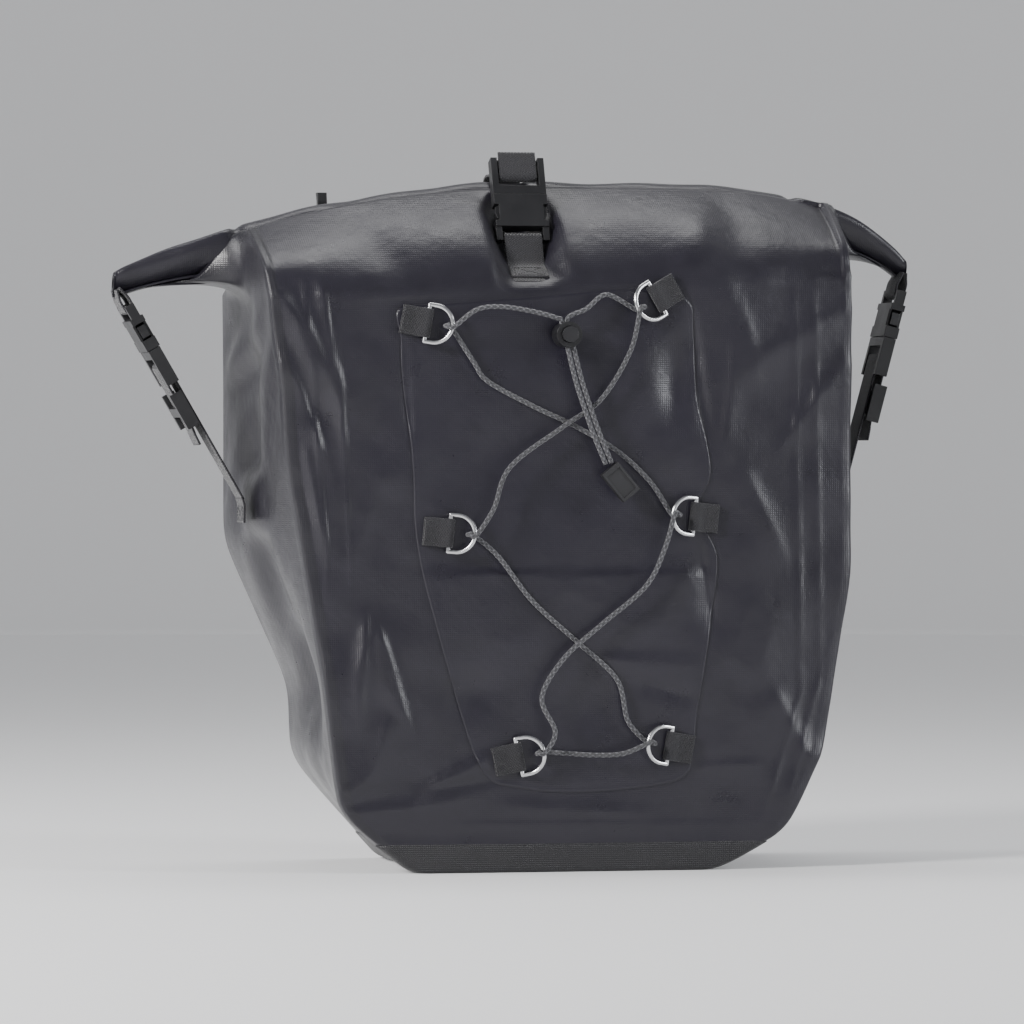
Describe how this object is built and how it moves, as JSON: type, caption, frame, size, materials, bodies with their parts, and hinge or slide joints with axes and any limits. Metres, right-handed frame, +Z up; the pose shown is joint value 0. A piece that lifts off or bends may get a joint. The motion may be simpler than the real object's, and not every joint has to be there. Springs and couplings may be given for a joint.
{
  "type": "bicycle pannier bag",
  "caption": "Roll-top bicycle pannier in coated fabric, laced in front with an elastic cord through steel rings, with quick-release rack hooks behind.",
  "frame": {"origin": "on the surface that the bag stands on, under the middle of its bounding box", "axes": "+X along the rolled closure, to the right as seen from the laced front; +Y from the laced front to the rack hooks; +Z up"},
  "size_m": [0.514, 0.2207, 0.4464],
  "materials": {
    "tarpaulin": "satin coated tarpaulin",
    "tarpaulin_side": "satin coated tarpaulin",
    "tarpaulin_base": "matte reinforced tarpaulin",
    "webbing": "woven polyester webbing",
    "bungee": "braided elastic cord",
    "buckle_plastic": "moulded acetal, fine texture",
    "rail_plastic": "moulded nylon",
    "hook_plastic": "moulded nylon",
    "insert_plastic": "grey moulded plastic",
    "stiffener_sheet": "plain sheet",
    "ring_steel": "polished nickel plate",
    "screw_steel": "zinc plate"
  },
  "bodies": {
    "bag": {"front_panel": "tarpaulin", "back_panel": "tarpaulin_side", "left_gusset": "tarpaulin_side", "right_gusset": "tarpaulin_side", "bottom_panel": "tarpaulin_base", "collar": "tarpaulin", "roll_top": "tarpaulin", "roll_stiffener": "stiffener_sheet", "bungee_patch": "tarpaulin", "back_board": "stiffener_sheet", "ring_tabs": "webbing", "bungee_cord": "bungee", "tail_cord_left": "bungee", "tail_cord_right": "bungee", "cord_end": "buckle_plastic", "top_strap": "webbing", "top_anchor_strap": "webbing", "top_buckle_male": "buckle_plastic", "top_buckle_female": "buckle_plastic", "left_ear_tab": "webbing", "left_buckle_female": "buckle_plastic", "left_buckle_male": "buckle_plastic", "left_ladder_lock": "buckle_plastic", "left_side_strap": "webbing", "right_ear_tab": "webbing", "right_buckle_female": "buckle_plastic", "right_buckle_male": "buckle_plastic", "right_ladder_lock": "buckle_plastic", "right_side_strap": "webbing", "upper_rail": "rail_plastic", "lower_rail": "rail_plastic", "back_screws": "screw_steel", "back_nuts": "screw_steel", "carry_handle": "webbing"},
    "ring_top_left": {"ring_top_left": "ring_steel"},
    "ring_top_right": {"ring_top_right": "ring_steel"},
    "ring_middle_left": {"ring_middle_left": "ring_steel"},
    "ring_middle_right": {"ring_middle_right": "ring_steel"},
    "ring_bottom_left": {"ring_bottom_left": "ring_steel"},
    "ring_bottom_right": {"ring_bottom_right": "ring_steel"},
    "cord_lock": {"cord_lock_body": "buckle_plastic", "cord_lock_spring": "screw_steel"},
    "cord_button": {"cord_lock_button": "buckle_plastic"},
    "top_prong_right": {"top_prong_right": "buckle_plastic"},
    "top_prong_left": {"top_prong_left": "buckle_plastic"},
    "left_prong_front": {"left_prong_front": "buckle_plastic"},
    "left_prong_back": {"left_prong_back": "buckle_plastic"},
    "right_prong_front": {"right_prong_front": "buckle_plastic"},
    "right_prong_back": {"right_prong_back": "buckle_plastic"},
    "hook_left": {"hook_left": "hook_plastic", "insert_left": "insert_plastic", "latch_spring_left": "screw_steel"},
    "latch_left": {"latch_left": "hook_plastic"},
    "hook_right": {"hook_right": "hook_plastic", "insert_right": "insert_plastic", "latch_spring_right": "screw_steel"},
    "latch_right": {"latch_right": "hook_plastic"},
    "lower_slider": {"lower_slider": "rail_plastic"},
    "lower_hook": {"lower_hook": "hook_plastic"},
    "lower_knob": {"lower_knob": "rail_plastic"}
  },
  "joints": [
    {"name": "ring_top_left_swing", "type": "hinge", "parent": "bag", "child": "ring_top_left", "pos_m": [-0.073, -0.0905, 0.341], "axis": [0.1736, 0, 0.9848], "range_deg": [-2, 5]},
    {"name": "ring_top_right_swing", "type": "hinge", "parent": "bag", "child": "ring_top_right", "pos_m": [0.073, -0.0905, 0.357], "axis": [0.5, 0, -0.866], "range_deg": [-2, 5]},
    {"name": "ring_middle_left_swing", "type": "hinge", "parent": "bag", "child": "ring_middle_left", "pos_m": [-0.059, -0.0905, 0.211], "axis": [0.0872, 0, 0.9962], "range_deg": [-2, 5]},
    {"name": "ring_middle_right_swing", "type": "hinge", "parent": "bag", "child": "ring_middle_right", "pos_m": [0.097, -0.0905, 0.221], "axis": [-0.1045, 0, -0.9945], "range_deg": [-2, 5]},
    {"name": "ring_bottom_left_swing", "type": "hinge", "parent": "bag", "child": "ring_bottom_left", "pos_m": [-0.015, -0.0905, 0.072], "axis": [-0.2079, 0, 0.9781], "range_deg": [-2, 5]},
    {"name": "ring_bottom_right_swing", "type": "hinge", "parent": "bag", "child": "ring_bottom_right", "pos_m": [0.081, -0.0905, 0.078], "axis": [-0.1736, 0, -0.9848], "range_deg": [-2, 5]},
    {"name": "cord_lock_slide", "type": "slide", "parent": "bag", "child": "cord_lock", "axis": [0.2369, 0, -0.9715], "range_m": [0, 0.018]},
    {"name": "cord_lock_press", "type": "slide", "parent": "cord_lock", "child": "cord_button", "axis": [0, 1, 0], "range_m": [0, 0.003], "stiffness_N_per_m": 300, "springref_m": -0.004},
    {"name": "top_prong_right_squeeze", "type": "hinge", "parent": "bag", "child": "top_prong_right", "pos_m": [0.0056, -0.03899, 0.42026], "axis": [0, 0.9272, -0.3746], "range_deg": [0, 5], "stiffness_Nm_per_rad": 0.02},
    {"name": "top_prong_left_squeeze", "type": "hinge", "parent": "bag", "child": "top_prong_left", "pos_m": [-0.0136, -0.03899, 0.42026], "axis": [0, -0.9272, 0.3746], "range_deg": [0, 5]},
    {"name": "left_prong_front_squeeze", "type": "hinge", "parent": "bag", "child": "left_prong_front", "pos_m": [-0.2338, -0.0136, 0.32721], "axis": [-0.866, 0, -0.5], "range_deg": [0, 5], "stiffness_Nm_per_rad": 0.02},
    {"name": "left_prong_back_squeeze", "type": "hinge", "parent": "bag", "child": "left_prong_back", "pos_m": [-0.2338, 0.0056, 0.32721], "axis": [0.866, 0, 0.5], "range_deg": [0, 5]},
    {"name": "right_prong_front_squeeze", "type": "hinge", "parent": "bag", "child": "right_prong_front", "pos_m": [0.2431, -0.0136, 0.33611], "axis": [-0.9659, 0, 0.2588], "range_deg": [0, 5], "stiffness_Nm_per_rad": 0.02},
    {"name": "right_prong_back_squeeze", "type": "hinge", "parent": "bag", "child": "right_prong_back", "pos_m": [0.2431, 0.0056, 0.33611], "axis": [0.9659, 0, -0.2588], "range_deg": [0, 5]},
    {"name": "hook_left_slide", "type": "slide", "parent": "bag", "child": "hook_left", "axis": [1, 0, 0], "range_m": [0, 0.06]},
    {"name": "latch_left_open", "type": "hinge", "parent": "hook_left", "child": "latch_left", "pos_m": [-0.105, 0.0885, 0.407], "axis": [-1, 0, 0], "range_deg": [0, 28], "stiffness_Nm_per_rad": 0.05, "springref_deg": -17.19},
    {"name": "hook_right_slide", "type": "slide", "parent": "bag", "child": "hook_right", "axis": [-1, 0, 0], "range_m": [0, 0.06]},
    {"name": "latch_right_open", "type": "hinge", "parent": "hook_right", "child": "latch_right", "pos_m": [0.133, 0.0885, 0.407], "axis": [-1, 0, 0], "range_deg": [0, 28], "stiffness_Nm_per_rad": 0.05, "springref_deg": -17.19},
    {"name": "lower_slider_slide", "type": "slide", "parent": "bag", "child": "lower_slider", "axis": [1, 0, 0], "range_m": [-0.035, 0.035]},
    {"name": "lower_hook_swivel", "type": "hinge", "parent": "lower_slider", "child": "lower_hook", "pos_m": [0.02, 0.0925, 0.12], "axis": [0, 1, 0], "range_deg": [-90, 90]},
    {"name": "lower_knob_turn", "type": "hinge", "parent": "lower_slider", "child": "lower_knob", "pos_m": [0.02, 0.098, 0.12], "axis": [0, 1, 0], "continuous": true}
  ],
  "couplings": [
    {"joint": "top_prong_left_squeeze", "follows": "top_prong_right_squeeze", "ratio": 1},
    {"joint": "left_prong_back_squeeze", "follows": "left_prong_front_squeeze", "ratio": 1},
    {"joint": "right_prong_back_squeeze", "follows": "right_prong_front_squeeze", "ratio": 1}
  ]
}
